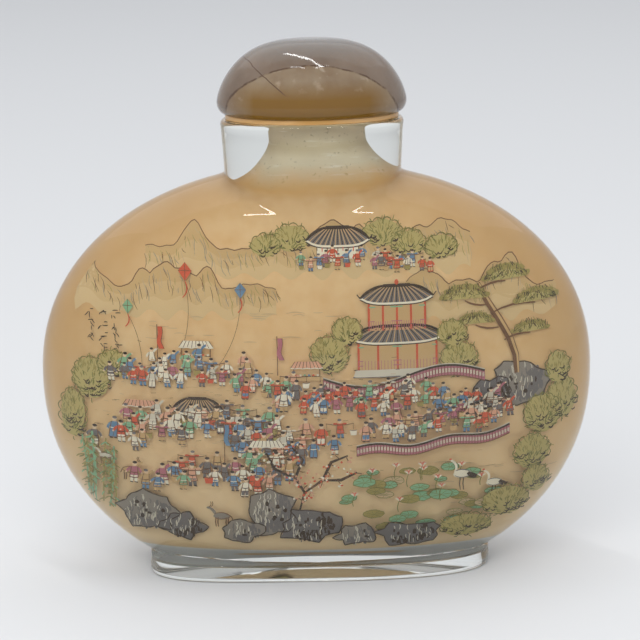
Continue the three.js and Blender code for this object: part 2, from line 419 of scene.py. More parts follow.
GLASS_SIDES, GLASS_FLATNESS = 224, 0.62
TURN_IN = (-0.22, -0.14, -0.07, -0.02, 0, 0.02, 0.06, 0.1, 0.15, 0.22, 0.32, 0.45, 0.6, 0.8, 1.05, 1.3)
SKIN_IN_GLASS, SKIN_IN_HOLLOW, SKIN_BELOW_RIM = 0.05, 0.1, 0.2


def quarter_turn(step):
    return [math.radians(t) for t in range(0, 91, step)]


def underside_rings():
    rings = [(0.0, None)]
    rings += [(0.0, lambda a, i=i: foot_reach(a, i)) for i in (12.0, 8.0, 4.0, 1.0)]
    for t in quarter_turn(15):
        rings.append((FOOT_EDGE_HEIGHT * (1 - math.cos(t)),
                      lambda a, t=t: foot_reach(a, FOOT_EDGE_DEPTH * (1 - math.sin(t)))))
    return rings


def outer_rings():
    rings = []
    for z in [FOOT_HEIGHT - FOOT_TOP_ROUND] + [FOOT_HEIGHT + rise for rise in TURN_IN]:
        rings.append((z, lambda a, z=z: joined(BODY.reach(a, z), foot_reach(a, foot_inset(z)), FOOT_FILLET)))
    for z in BODY.levels(FOOT_HEIGHT + 1.7, BODY.middle, 26) + BODY.levels(BODY.middle, 57.8, 30)[1:]:
        rings.append((z, lambda a, z=z: BODY.reach(a, z)))
    for z in spaced(58.1, 65.0, 34) + [66.0, 67.5, 69.0, 70.5]:
        rings.append((z, lambda a, z=z: joined(BODY.reach(a, z), neck_reach(a, z), NECK_FILLET)))
    return rings


def rim_rings():
    rings = []
    for t in quarter_turn(15):
        rings.append((RIM - RIM_ROUND * (1 - math.sin(t)),
                      lambda a, t=t: neck_reach(a, RIM, RIM_ROUND * (1 - math.cos(t)))))
    for z, more in ((RIM, BORE_BEVEL + 0.05), (RIM - 0.02, BORE_BEVEL), (RIM - BORE_BEVEL, 0.0)):
        radius = BORE_RADIUS + more
        rings.append((z, lambda a, radius=radius: reach(a, radius, radius), bore_shift(z)))
    return rings


def inner_rings(grow=0.0, top=None):
    """Down the hollow's wall from the mouth and in over its floor, further into the glass by grow."""
    wall_end = FLOOR + FLOOR_ROUND
    rings = []
    for z in ([top] if top else []) + [70.5, BORE_STRAIGHT] + spaced(69.2, 58.6, 44):
        rings.append((z, lambda a, z=z: inside_reach(a, z, grow), bore_shift(z)))
    for z in CAVITY.levels(58.3, wall_end, 60):
        rings.append((z, lambda a, z=z: inside_reach(a, z, grow)))
    for t in quarter_turn(10)[1:]:
        inset = FLOOR_ROUND * (1 - math.cos(t))
        rings.append((wall_end - (FLOOR_ROUND + grow) * math.sin(t),
                      lambda a, inset=inset: CAVITY.reach(a, wall_end, grow - inset)))
    for inset in (4.0, 6.5):
        rings.append((FLOOR - grow, lambda a, inset=inset: CAVITY.reach(a, wall_end, -inset)))
    rings.append((FLOOR - grow, None))
    return rings


def bottle_glass(material):
    rings = underside_rings() + outer_rings() + rim_rings() + inner_rings()
    return finished(loft(rings, GLASS_SIDES, GLASS_FLATNESS), "bottle_glass", [material])


def lining(material):
    """The ground inner wall and its paint, a skin that keeps touch with the glass all over."""
    top = RIM - BORE_BEVEL - SKIN_BELOW_RIM
    rings = inner_rings(-SKIN_IN_HOLLOW, top)[::-1] + inner_rings(SKIN_IN_GLASS, top)
    return finished(loft(rings, GLASS_SIDES, GLASS_FLATNESS), "painted_lining", [material])


# ---------------------------------------------------------------- the painting

# Water-based colours brushed on the inner wall, finest strokes first against the glass, so what is nearer
# to the viewer lies a little deeper in the wall.
PAINTS = {
    "sepia": "5A3F2A", "ink": "33291F", "grey": "6F675C", "slate": "57524F", "red": "B8442C",
    "blue": "4C6884", "green": "66936A", "rose": "93525A", "pink": "C98466", "olive": "80703C",
    "leaf": "5C5A2E", "cream": "E6D6B2", "flesh": "DDAE84", "tan": "AE8556", "haze": "A98B66",
    "mist": "B9AF96", "moss": "9C8A50", "wash_deep": "B38A58", "wash": "BC9461", "wash_pale": "C59D69",
}
FIRST_LIFT, LIFT_STEP = 0.09, 0.00008
WALL_END = 0.985


def mixed(p, q, t):
    return p[0] + (q[0] - p[0]) * t, p[1] + (q[1] - p[1]) * t


class Painting:
    """One broad face's brushwork, laid stroke by stroke on the curved inner wall. side is -1 for the front.
    Places are in mm to the right and up, and over lifts a stroke clear of those beside it."""

    def __init__(self, side, seed):
        self.side = side
        self.lift = FIRST_LIFT
        self.bm = bmesh.new()
        self.order = {name: i for i, name in enumerate(PAINTS)}
        self.dice = random.Random(seed)

    def spot(self, x, z, lift):
        k = CAVITY.kept(z)
        a, b = CAVITY.half_width * k + lift, CAVITY.half_depth * k + lift
        x = max(-WALL_END * a, min(x, WALL_END * a))
        y = b * math.sqrt(1 - (x / a) ** 2)
        return self.bm.verts.new((-self.side * x * MM, self.side * y * MM, z * MM))

    def sheet(self, rows, paint, over):
        """Faces between neighbouring rows of points of the same length, a step above the last sheet."""
        self.lift += LIFT_STEP
        laid = [[self.spot(x, z, self.lift + over) for x, z in row] for row in rows]
        for low, high in zip(laid, laid[1:]):
            for i in range(len(low) - 1):
                face = self.bm.faces.new((low[i], low[i + 1], high[i + 1], high[i]))
                face.material_index = self.order[paint]

    def cover(self, by=0.012):
        """What comes next lies clear of what is there."""
        self.lift += by

    def line(self, points, width, paint, taper=0.35, over=0.0):
        """A brush stroke along points, narrowing towards both ends."""
        left, right = [], []
        last = len(points) - 1
        for i, (x, z) in enumerate(points):
            (x0, z0), (x1, z1) = points[max(i - 1, 0)], points[min(i + 1, last)]
            dx, dz = x1 - x0, z1 - z0
            size = math.hypot(dx, dz) or 1.0
            swell = math.sin(math.pi * (0.12 + 0.76 * i / last))
            half = width / 2 * (taper + (1 - taper) * swell)
            left.append((x - dz / size * half, z + dx / size * half))
            right.append((x + dz / size * half, z - dx / size * half))
        self.sheet([right, left], paint, over)

    def level(self, x0, x1, z, *brush):
        self.line([(x0, z), ((x0 + x1) / 2, z), (x1, z)], *brush)

    def upright(self, x, z0, z1, *brush):
        self.line([(x, z0), (x, z1)], *brush)

    def curve(self, a, b, bend, width, paint, steps=4, taper=0.35, over=0.0):
        """A stroke from a to b that bows to its left by bend."""
        (x0, z0), (x1, z1) = a, b
        points = []
        for t in spaced(0, 1, steps):
            bow = 4 * t * (1 - t) * bend
            points.append((x0 + (x1 - x0) * t - (z1 - z0) * bow, z0 + (z1 - z0) * t + (x1 - x0) * bow))
        self.line(points, width, paint, taper, over)

    def between(self, low, high, paint, rows=1, over=0.0):
        """A wash between two edges with as many points each."""
        self.sheet([[mixed(p, q, t) for p, q in zip(low, high)] for t in spaced(0, 1, rows)], paint, over)

    def quad(self, corners, paint, pieces=1, over=0.0):
        """A flat wash between four corners, given in order round it."""
        a, b, c, d = corners
        steps = spaced(0, 1, pieces)
        self.between([mixed(a, b, t) for t in steps], [mixed(d, c, t) for t in steps], paint, pieces, over)

    def panel(self, x0, x1, z0, z1, *wash):
        self.quad(((x0, z0), (x1, z0), (x1, z1), (x0, z1)), *wash)

    def blob(self, x, z, rx, rz, paint, sides=10, wobble=0.0, rings=1, over=0.0):
        """A rounded dab, a little uneven where wobble is given."""
        edge = []
        for i in range(sides):
            t = 2 * math.pi * i / sides
            r = 1 + wobble * self.dice.uniform(-1, 1)
            edge.append((x + rx * r * math.cos(t), z + rz * r * math.sin(t)))
        edge.append(edge[0])
        self.sheet([[mixed((x, z), p, t) for p in edge] for t in spaced(0.02, 1.0, rings)], paint, over)
        return edge

    def within(self, x, z, rx, rz, share=1.0, low=0.0, high=2 * math.pi):
        """A chance place inside a share of an oval, between two of its directions."""
        t, r = self.dice.uniform(low, high), math.sqrt(self.dice.random()) * share
        return x + rx * r * math.cos(t), z + rz * r * math.sin(t)

    def dried(self, name, materials):
        bmesh.ops.remove_doubles(self.bm, verts=self.bm.verts, dist=1e-8)
        for face in self.bm.faces:
            face.normal_update()
            if face.normal.y * self.side < 0:
                face.normal_flip()
        return finished(self.bm, name, materials, smooth_below=180)


def placing(x, z, size, facing=1):
    """Turns a motif's own measures into a place on the wall."""
    return lambda u, v: (x + facing * u * size, z + v * size)


def wavy(dice, x0, x1, height, swell, steps):
    """A ridge of rounded rises between x0 and x1."""
    humps = [(dice.uniform(x0, x1), dice.uniform(0.3, 1.0) * swell, dice.uniform(1.5, 5.0)) for _ in range(9)]
    ridge = []
    for x in spaced(x0, x1, steps):
        rise = max(h * math.exp(-((x - c) / w) ** 2) for c, h, w in humps)
        ridge.append((x, height + rise + 0.12 * math.sin(x * 2.7)))
    return ridge


def figure(art, x, z, size, robe, pose):
    """A tiny person in a robe, seen from a little above: generic, with no face."""
    dice = art.dice
    s, lean = size, dice.uniform(-0.12, 0.12)
    def p(u, v):
        return x + s * (u + lean * v), z + s * v
    legs = dice.choice(["cream", "slate", "tan", "blue"])
    art.quad((p(-0.16, 0.0), p(-0.03, 0.0), p(0.0, 0.34), p(-0.17, 0.34)), legs)
    art.quad((p(0.05, 0.0), p(0.18, 0.0), p(0.17, 0.34), p(0.0, 0.34)), legs)
    hem = 0.24 if pose != "gown" else 0.04
    art.quad((p(-0.22, hem), p(0.22, hem), p(0.15, 0.80), p(-0.14, 0.80)), robe, over=0.003)
    hands = {"gown": ((-0.30, 0.42), (0.30, 0.44)), "walk": ((-0.36, 0.50), (0.34, 0.46)),
             "wave": ((-0.34, 0.46), (0.36, 1.00)), "carry": ((-0.38, 0.76), (0.38, 0.76))}[pose]
    for (u, v), shoulder in zip(hands, (-0.12, 0.12)):
        art.curve(p(shoulder, 0.74), p(u, v), shoulder, 0.13 * s, robe, 3, 0.7, 0.005)
        art.blob(*p(u * 1.06, v), 0.05 * s, 0.05 * s, "flesh", 6, over=0.006)
    art.blob(*p(0.0, 0.92), 0.105 * s, 0.125 * s, "flesh", 8, over=0.006)
    art.blob(*p(dice.uniform(-0.03, 0.03), 1.0), 0.115 * s, 0.075 * s,
             dice.choice(["ink", "ink", "ink", "slate"]), 7, over=0.008)
    fine = 0.045 * s
    belt = dice.choice(["cream", "ink", "sepia"])
    for points, width, paint, taper in (
            (((-0.22, hem), (-0.18, 0.5), (-0.14, 0.80)), fine, "sepia", 0.5),
            (((0.22, hem), (0.17, 0.5), (0.15, 0.80)), fine, "sepia", 0.5),
            (((-0.21, hem), (0.0, hem - 0.03), (0.21, hem)), fine, "sepia", 0.5),
            (((-0.17, 0.5), (0.0, 0.47), (0.17, 0.5)), fine, belt, 0.6),
            (((0.02, 0.46), (-0.02, hem + 0.02)), fine * 0.8, "sepia", 0.5),
            (((-0.17, 0.0), (-0.02, -0.02)), fine * 1.3, "ink", 0.7),
            (((0.04, 0.0), (0.2, -0.02)), fine * 1.3, "ink", 0.7)):
        art.line([p(u, v) for u, v in points], width, paint, taper, 0.009)
    if pose == "carry":
        art.curve(p(-0.75, 0.80), p(0.75, 0.80), -0.06, 0.05 * s, "sepia", 4, 0.6, 0.011)
        for u in (-0.72, 0.72):
            art.line([p(u, 0.8), p(u, 0.45)], fine * 0.7, "sepia", 0.6, 0.011)
            art.quad((p(u - 0.15, 0.12), p(u + 0.15, 0.12), p(u + 0.2, 0.42), p(u - 0.2, 0.42)),
                     dice.choice(["tan", "red", "cream", "olive"]), over=0.011)
            art.line([p(u - 0.2, 0.42), p(u, 0.38), p(u + 0.2, 0.42)], fine, "sepia", 0.6, 0.013)


def crowd(art, path, spread, count, size, apart=1.5):
    """People along a path, those farther up drawn first."""
    dice = art.dice
    legs = [math.dist(a, b) for a, b in zip(path, path[1:])]
    places, tries = [], 0
    while len(places) < count and tries < count * 40:
        tries += 1
        run = dice.uniform(0, sum(legs))
        for (a, b), length in zip(zip(path, path[1:]), legs):
            if run <= length:
                break
            run -= length
        x, z = mixed(a, b, min(run / length, 1.0))
        x += dice.gauss(0, 1) * spread
        z += dice.gauss(0, 1) * spread * 0.55
        if all(abs(x - u) / apart + abs(z - v) / (apart * 0.8) > 1 for u, v in places):
            places.append((x, z))
    robes = ["red", "blue", "green", "cream", "rose", "blue", "red", "tan", "slate", "pink", "mist"]
    for x, z in sorted(places, key=lambda place: -place[1]):
        art.cover(0.0022)
        figure(art, x, z, size * dice.uniform(0.88, 1.1), dice.choice(robes),
               dice.choice(["gown", "walk", "walk", "wave", "carry"]))


def foliage(art, x, z, rx, rz):
    """A clump of leaves: a mossy wash, then short strokes that fan up and out, and a scalloped edge."""
    dice = art.dice
    art.blob(x, z, rx, rz, "moss", 18, 0.06, max(1, round(max(rx, rz) / 0.9)))
    art.cover()
    for _ in range(round(rx * rz * 15)):
        u, v = art.within(x, z, rx, rz)
        shade = "leaf" if v < z - rz * 0.15 or dice.random() < 0.3 else "olive"
        away = math.atan2(v - z + rz * 0.9, u - x) + dice.gauss(0, 0.25)
        length = dice.uniform(0.45, 0.95)
        art.curve((u, v), (u + length * math.cos(away), v + length * math.sin(away)), dice.uniform(-0.2, 0.2),
                  0.15, shade, 2, 0.3, dice.uniform(0, 0.006))
    for _ in range(round(rx * rz * 2.2)):
        u, v = art.within(x, z, rx, rz, low=math.pi * 1.05, high=math.pi * 1.95)
        art.curve((u, v), (u + dice.uniform(0.4, 0.9), v + 0.15), -0.4, 0.2, "ink", 3, 0.3, 0.007)
    humps = max(7, round((rx + rz) * 2.4))
    for t0, t1 in zip(spaced(0, 2 * math.pi, humps), spaced(0, 2 * math.pi, humps)[1:]):
        if math.sin((t0 + t1) / 2) >= -0.55:
            a, b = ((x + rx * math.cos(t), z + rz * math.sin(t)) for t in (t0, t1))
            art.curve(a, b, -0.28, 0.14, "leaf", 4, 0.4, 0.008)


def thicket(art, *clumps):
    for clump in clumps:
        foliage(art, *clump)


def pine(art, x, z, height, lean, pads):
    """A bent pine: a leaning trunk with flat pads of needles."""
    dice = art.dice
    bend = [(x + lean * (t ** 1.4) + 0.5 * math.sin(t * 5.0), z + height * t) for t in (0, .2, .4, .6, .8, 1)]
    thick = 1.15
    art.line(bend, thick, "sepia", 0.55, 0.004)
    art.line([(u + thick * 0.22, v) for u, v in bend], thick * 0.35, "tan", 0.3, 0.008)
    art.cover(0.006)
    for u, v, rx, rz in pads:
        fork = (x + lean * (v / height) ** 1.4, z + v - rz)
        art.curve(fork, (x + u, z + v - rz * 0.5), 0.08, 0.3, "sepia", 4)
        cx, under = x + u, z + v - rz * 0.35
        ends = spaced(-1, 1, 12)
        art.between([(cx + rx * w, under) for w in ends],
                    [(cx + rx * w, under + rz * 1.2 * math.sqrt(max(1 - w * w, 0))) for w in ends], "moss", 2)
        art.cover(0.008)
        for w in spaced(-1, 1, 8):
            brow = under + rz * 1.05 * math.sqrt(max(1 - w * w, 0.05))
            art.blob(cx + rx * w * 0.92, brow, rx * 0.2, rz * 0.28, "olive", 9, 0.15)
        art.cover(0.006)
        for _ in range(round(rx * rz * 26)):
            w = dice.uniform(-1, 1)
            px, pz = cx + rx * w, under + dice.random() * rz * 1.2 * math.sqrt(1 - w * w)
            fan = math.pi / 2 + w * 0.9 + dice.gauss(0, 0.45)
            size = dice.uniform(0.4, 0.75)
            art.line([(px, pz), (px + size * math.cos(fan), pz + size * math.sin(fan))], 0.13,
                     dice.choice(["leaf", "leaf", "ink", "ink", "olive"]), 0.4, dice.uniform(0, 0.005))


def rock(art, x, z, rx, rz, tone="grey"):
    """A garden rock: a grey wash, hollows, and many short contour strokes down its dark side."""
    dice = art.dice
    edge = art.blob(x, z, rx, rz, tone, 15, 0.24, max(2, round(max(rx, rz) / 0.9)))
    art.cover()
    for _ in range(round(rx * rz * 6)):
        t, r = dice.uniform(-math.pi * 0.75, math.pi * 0.3), (0.45 + 0.5 * dice.random()) * 0.86
        u, v = x + rx * r * math.cos(t), z + rz * r * math.sin(t)
        art.curve((u, v + 0.4), (u + 0.1, v - 0.4), dice.uniform(-0.2, 0.2), 0.42,
                  "ink" if tone == "slate" else "slate", 3, 0.3)
    art.cover(0.004)
    for a, b in zip(edge, edge[1:]):
        art.curve(a, b, dice.uniform(-0.1, 0.1), 0.2, "ink", 3, 0.5, 0.010)
    for _ in range(round(rx * rz * 5)):
        u, v = art.within(x, z, rx, rz, 0.78)
        shade = "slate" if dice.random() < 0.55 + 0.35 * (u - x) / rx else "mist"
        art.curve((u, v + 0.35), (u + dice.uniform(-0.25, 0.25), v - dice.uniform(0.3, 0.9)),
                  dice.uniform(-0.2, 0.2), 0.16, shade, 3)
    for _ in range(round(rx * rz * 0.5)):
        art.blob(*art.within(x, z, rx, rz, 0.6), dice.uniform(0.15, 0.4), dice.uniform(0.2, 0.45),
                 "ink", 8, 0.2, over=0.004)


def bamboo(art, x, z, height, stems):
    dice = art.dice
    for _ in range(stems):
        u = x + dice.uniform(-1, 1) * 2.2
        top = (u + dice.uniform(-1.2, 1.2), z + height * dice.uniform(0.75, 1.05))
        low = (u, z + dice.uniform(-0.6, 0.6))
        art.curve(low, top, dice.uniform(-0.06, 0.06), 0.28,
                  "green" if dice.random() < 0.4 else "olive", 8, 0.8)
        for j in range(9):
            t = (j + 0.5) / 9
            px, pz = mixed(low, top, t)
            art.line([(px - 0.2, pz), (px + 0.2, pz)], 0.09, "leaf", 0.6, 0.004)
            for _ in range(4 if t > 0.35 else 1):
                way = dice.choice([-1, 1]) * dice.uniform(0.2, 1.0)
                size = dice.uniform(0.8, 1.5)
                tip = (px + size * math.sin(way), pz - size * math.cos(way) * 0.7)
                art.curve((px, pz), tip, dice.uniform(-0.15, 0.15), 0.24,
                          dice.choice(["leaf", "olive", "green"]), 3, 0.15, 0.006)


def blossom_tree(art, x, z, branches):
    """A flowering plum: dark crooked branches and scattered pink and cream dabs."""
    dice = art.dice
    for branch in branches:
        points = [(x + u, z + v) for u, v in branch]
        art.line(points, 0.5, "ink", 0.25)
        for a, b in zip(points, points[1:]):
            for _ in range(3):
                px, pz = mixed(a, b, dice.random())
                way = dice.uniform(0, 2 * math.pi)
                tip = (px + 1.1 * math.cos(way), pz + 1.1 * math.sin(way))
                art.curve((px, pz), tip, dice.uniform(-0.2, 0.2), 0.16, "sepia", 3, 0.3)
                for _ in range(4):
                    art.blob(tip[0] + dice.gauss(0, 0.4), tip[1] + dice.gauss(0, 0.4),
                             dice.uniform(0.13, 0.24), dice.uniform(0.13, 0.22),
                             dice.choice(["pink", "red", "cream", "pink"]), 6, 0.2, over=0.006)


def lotus_pond(art, x, z, rx, rz):
    """Big round leaves on still water, with buds and open flowers on stalks."""
    dice = art.dice
    for _ in range(round(rx * rz * 0.55)):
        u, v = art.within(x, z, rx, rz)
        w = dice.uniform(0.9, 1.9)
        h = w * dice.uniform(0.38, 0.5)
        art.cover(0.004)
        edge = art.blob(u, v, w, h, dice.choice(["green", "olive", "olive", "green", "haze"]), 14, 0.08, 2)
        art.line(edge, 0.12, "leaf", 0.8, 0.012)
        for end in edge[:-1:2]:
            art.line([(u, v - 0.1), mixed((u, v), end, 0.5), end], 0.07, "leaf", 0.4, 0.012)
        art.cover(0.008)
    for _ in range(max(4, round(rx * 0.9))):
        u, v = x + dice.uniform(-1, 1) * rx * 0.85, z + dice.uniform(-0.4, 0.7) * rz
        head = (u + 0.2, v + dice.uniform(1.3, 2.6))
        art.curve((u, v), head, 0.1, 0.14, "leaf", 4, 0.6, 0.006)
        for k in range(-2, 3):
            way, hand = math.pi / 2 + k * 0.42, 1 if k < 0 else -1
            tip = (head[0] + 0.85 * math.cos(way), head[1] + 0.75 * math.sin(way))
            art.curve(head, tip, 0.12 * hand, 0.34, "pink" if k % 2 else "cream", 4, 0.3,
                      0.008 + 0.001 * abs(k))
            art.curve(head, tip, 0.3 * hand, 0.07, "red", 4, 0.4, 0.012)


def ripples(art, x, z, rx, rz, count):
    dice = art.dice
    for _ in range(count):
        u, v = x + dice.uniform(-1, 1) * rx, z + dice.uniform(-1, 1) * rz
        size = dice.uniform(1.2, 3.2)
        art.curve((u, v), (u + size, v), dice.uniform(-0.1, 0.1), 0.09, "haze", 6, 0.2)


def eaves(art, x, z, width, height, overhang):
    """A small tiled hip roof with upturned corners, drawn row by row."""
    half, top = width / 2 + overhang, width * 0.24

    def low(t):
        return x + half * t, z + 0.9 * abs(t) ** 4

    def high(t):
        return x + top * t, z + height

    gutter, crest = ([place(t) for t in spaced(-1, 1, 12)] for place in (low, high))
    art.between(gutter, crest, "slate", 4)
    art.cover(0.010)
    for i, t in enumerate(spaced(-1, 1, 24)):
        art.curve(high(t), low(t), 0.03 * t, 0.13, "tan" if i % 2 else "ink", 5, 0.8)
    art.line(gutter, 0.34, "cream", 0.9, 0.006)
    art.line([(u, v - 0.22) for u, v in gutter], 0.16, "ink", 0.9, 0.008)
    art.line(crest[::4], 0.5, "ink", 0.9, 0.008)
    for side in (-1, 1):
        corner = low(side)
        art.curve(high(side), corner, 0.1 * side, 0.36, "ink", 6, 0.8, 0.010)
        art.line([corner, (corner[0] + 0.5 * side, corner[1] + 0.6)], 0.22, "ink", 0.5, 0.010)


def pavilion(art, x, z, width, posts=4, tiers=1):
    """An open garden pavilion on a stone base, with rails between its posts."""
    body, half = width * 0.34, width / 2
    art.quad(((x - half - 0.8, z - 1.1), (x + half + 0.8, z - 1.1), (x + half + 0.5, z), (x - half - 0.5, z)),
             "mist", 8)
    art.level(x - half - 0.7, x + half + 0.7, z, 0.16, "ink", 0.9, 0.01)
    art.line([(x - half - 0.9, z - 1.1), (x, z - 1.15), (x + half + 0.9, z - 1.1)], 0.2, "slate", 0.9, 0.01)
    art.cover(0.008)
    for tier in range(tiers):
        base = z + tier * (body + 1.9)
        span = width * (1 - 0.28 * tier)
        left, right = x - span / 2, x + span / 2
        art.panel(left, right, base, base + body, "tan", 6)
        art.cover(0.008)
        for u in spaced(left, right, posts - 1):
            art.line([(u, base), (u, base + body / 2), (u, base + body)], 0.34, "red", 0.9, 0.004)
            art.upright(u + 0.14, base, base + body, 0.08, "sepia", 0.9, 0.008)
        for share in (0.16, 0.34):
            art.level(left, right, base + body * share, 0.13, "rose", 0.9, 0.006)
        for u in spaced(left, right, posts * 5 - 1):
            art.upright(u, base, base + body * 0.34, 0.08, "rose", 0.9, 0.006)
        art.level(left, right, base + body * 0.86, 0.2, "green", 0.9, 0.006)
        eaves(art, x, base + body - 0.1, span, width * 0.22, 1.3)
    top = z + tiers * (body + 1.9) + width * 0.22 - 2.0
    art.blob(x, top + 0.5, 0.32, 0.42, "red", 8, over=0.012)


def garden_wall(art, points, height):
    """A low winding wall: rose plaster under a dark tile coping, with lattice openings."""
    top = [(x, z + height) for x, z in points]
    art.between(points, top, "rose", 2)
    art.cover(0.008)
    for a, b in zip(points, points[1:]):
        for t in (0.0, 0.5):
            x, z = mixed(a, b, t)
            art.upright(x, z, z + height, 0.1, "sepia", 0.8, 0.002)
            for brush in ((0.3, "cream", 0.7, 0.002), (0.07, "sepia", 0.7, 0.005)):
                art.upright(x + 0.25, z + height * 0.3, z + height * 0.7, *brush)
    art.line(top, 0.34, "ink", 0.95, 0.006)
    art.line([(x, z + 0.22) for x, z in top], 0.14, "mist", 0.95, 0.009)
    art.line(points, 0.16, "sepia", 0.95, 0.006)


def crane(art, x, z, size, facing):
    p = placing(x, z, size, facing)
    art.blob(*p(0, 0), 0.62 * size, 0.30 * size, "cream", 10, over=0.004)
    art.curve(p(-0.35, 0.05), p(-0.95, -0.25), 0.1 * facing, 0.36 * size, "ink", 4, 0.3, 0.007)
    art.curve(p(0.5, 0.12), p(0.78, 1.02), 0.25 * facing, 0.16 * size, "cream", 6, 0.7, 0.008)
    art.line([p(0.76, 0.95), p(1.15, 0.9)], 0.08 * size, "sepia", 0.4, 0.010)
    art.blob(*p(0.78, 1.08), 0.1 * size, 0.07 * size, "red", 6, over=0.012)
    for u in (-0.08, 0.14):
        art.line([p(u, -0.25), p(u + 0.05, -0.7), p(u, -1.15)], 0.07 * size, "ink", 0.7, 0.006)
    art.curve(p(-0.55, 0.1), p(0.45, 0.24), 0.12 * facing, 0.06 * size, "slate", 5, 0.5, 0.008)
    art.curve(p(-0.5, -0.12), p(0.5, -0.1), -0.16 * facing, 0.06 * size, "slate", 5, 0.5, 0.008)


def deer(art, x, z, size, facing, coat):
    """A grazing or standing animal, small and plain."""
    p = placing(x, z, size, facing)
    art.blob(*p(0, 0), 0.62 * size, 0.27 * size, coat, 10, 0.05, over=0.004)
    art.curve(p(0.45, 0.1), p(0.82, 0.62), 0.1 * facing, 0.22 * size, coat, 4, 0.7, 0.006)
    art.blob(*p(0.92, 0.66), 0.17 * size, 0.10 * size, coat, 8, over=0.007)
    for u in (-0.45, -0.3, 0.28, 0.44):
        art.line([p(u, -0.1), p(u + 0.03, -0.5), p(u, -0.85)], 0.1 * size, "sepia", 0.6, 0.003)
    art.curve(p(-0.6, 0.06), p(0.5, 0.2), 0.14 * facing, 0.07 * size, "sepia", 5, 0.5, 0.008)
    art.curve(p(-0.6, 0.0), p(0.5, -0.16), -0.14 * facing, 0.07 * size, "sepia", 5, 0.5, 0.008)
    for u in (0.78, 0.9):
        art.curve(p(u, 0.72), p(u - 0.12, 1.15), 0.2 * facing, 0.06 * size, "sepia", 3, 0.5, 0.009)
    art.curve(p(-0.6, 0.05), p(-0.75, -0.3), 0.1, 0.08 * size, "sepia", 3, 0.4, 0.008)


def kite(art, x, z, size, paint, tail):
    art.quad(((x, z - size), (x + size * 0.7, z), (x, z + size * 0.8), (x - size * 0.7, z)), paint)
    art.line([(x, z - size), (x, z), (x, z + size * 0.8)], 0.09, "sepia", 0.7, 0.004)
    art.level(x - size * 0.7, x + size * 0.7, z, 0.09, "sepia", 0.7, 0.004)
    art.curve((x, z - size), tail, 0.08, 0.07, "sepia", 14, 0.7)
    art.curve((x, z - size), (x - 0.4, z - size * 2.6), 0.2, 0.2, "red", 5, 0.5)


def strokes_in_rows(art, x, z, columns, rows, size):
    """Columns of brush marks that are no letters of any script, where a painter would write."""
    dice = art.dice
    for i in range(columns):
        for j in range(rows - i):
            u, v = x - i * size * 1.5, z - j * size * 1.35
            for _ in range(4):
                start = (u + dice.uniform(-0.42, 0.2) * size, v + dice.uniform(-0.42, 0.42) * size)
                way = dice.choice([0.1, -math.pi / 2, -0.9, -2.3])
                long = dice.uniform(0.35, 0.75) * size
                end = (start[0] + long * math.cos(way), start[1] + long * math.sin(way))
                art.curve(start, end, dice.uniform(-0.15, 0.15), 0.14, "ink", 3, 0.4)


def ridge(art, x0, x1, height, swell, foot, wash):
    """A range of far hills: three fading washes under a brushed skyline, hatched down the shaded side."""
    dice = art.dice
    top = wavy(dice, x0, x1, height, swell, round((x1 - x0) / 0.55))
    for tint, depth in (("wash_pale", 0.95), ("wash", 0.62), (wash, 0.30)):
        low = [(x, z - (z - min(foot, z - 0.05)) * depth * (1 + 0.12 * math.sin(x * 1.3))) for x, z in top]
        art.between(low, top, tint, 5)
        art.cover(0.006)
    art.line(top, 0.15, "sepia", 0.5, 0.004)
    for x, z in top:
        for _ in range(2):
            drop = dice.uniform(0.5, 2.6)
            u, v = x + dice.uniform(-0.2, 0.2), z - dice.uniform(0.1, 0.4 * (z - foot))
            art.curve((u, v), (u + dice.uniform(-0.1, 0.9), v - drop), dice.uniform(-0.15, 0.15), 0.09,
                      dice.choice(["haze", "sepia", "grey", "olive"]), 3, 0.2, 0.003)


def ground_dots(art, x, z, rx, rz, count):
    dice = art.dice
    for _ in range(count):
        u, v = x + dice.gauss(0, 0.5) * rx, z + dice.gauss(0, 0.5) * rz
        art.line([(u, v), (u + dice.uniform(0.3, 1.1), v + dice.uniform(-0.1, 0.1))], 0.1,
                 dice.choice(["tan", "haze", "sepia"]), 0.3)


def banner(art, x, z, height, cloth):
    """A pole with a long streamer."""
    art.line([(x, z), (x + 0.05, z + height / 2), (x, z + height)], 0.15, "sepia", 0.8, 0.006)
    def edge(out, sway, lag):
        return [(x + out + sway * math.sin(i * 0.9 + lag) * i / 8, z + height - 0.3 - i * 0.42)
                for i in range(9)]

    left, right = edge(0.1, 0.25, 0.0), edge(0.8, 0.3, 0.4)
    art.between(left, right, cloth, 1, 0.008)
    art.line(right, 0.08, "sepia", 0.6, 0.012)


def stall(art, x, z, width, cloth):
    """A market table under a striped cloth on poles."""
    left, right = x - width / 2, x + width / 2
    for u in (left, right):
        art.upright(u, z, z + 2.3, 0.16, "sepia", 0.9, 0.004)
    art.panel(left, right, z + 0.2, z + 0.9, "tan", 3, 0.004)
    art.line([(left, z + 0.9), (x, z + 0.92), (right, z + 0.9)], 0.14, "ink", 0.9, 0.008)
    for i in range(6):
        art.blob(left + width * (i + 0.5) / 6, z + 1.08, 0.2, 0.17, ["red", "cream", "green", "blue"][i % 4],
                 7, over=0.010)
    hem = [(u, z + 2.2 - 0.12 * (i % 2)) for i, u in enumerate(spaced(left - 0.5, right + 0.5, 8))]
    crest = [(u, z + 3.2) for u in spaced(left + 0.2, right - 0.2, 8)]
    art.between(hem, crest, cloth, 2, 0.006)
    for low, high in zip(hem, crest):
        art.line([low, high], 0.1, "sepia", 0.8, 0.016)
    art.line(hem, 0.14, "cream", 0.9, 0.018)
    art.cover(0.012)


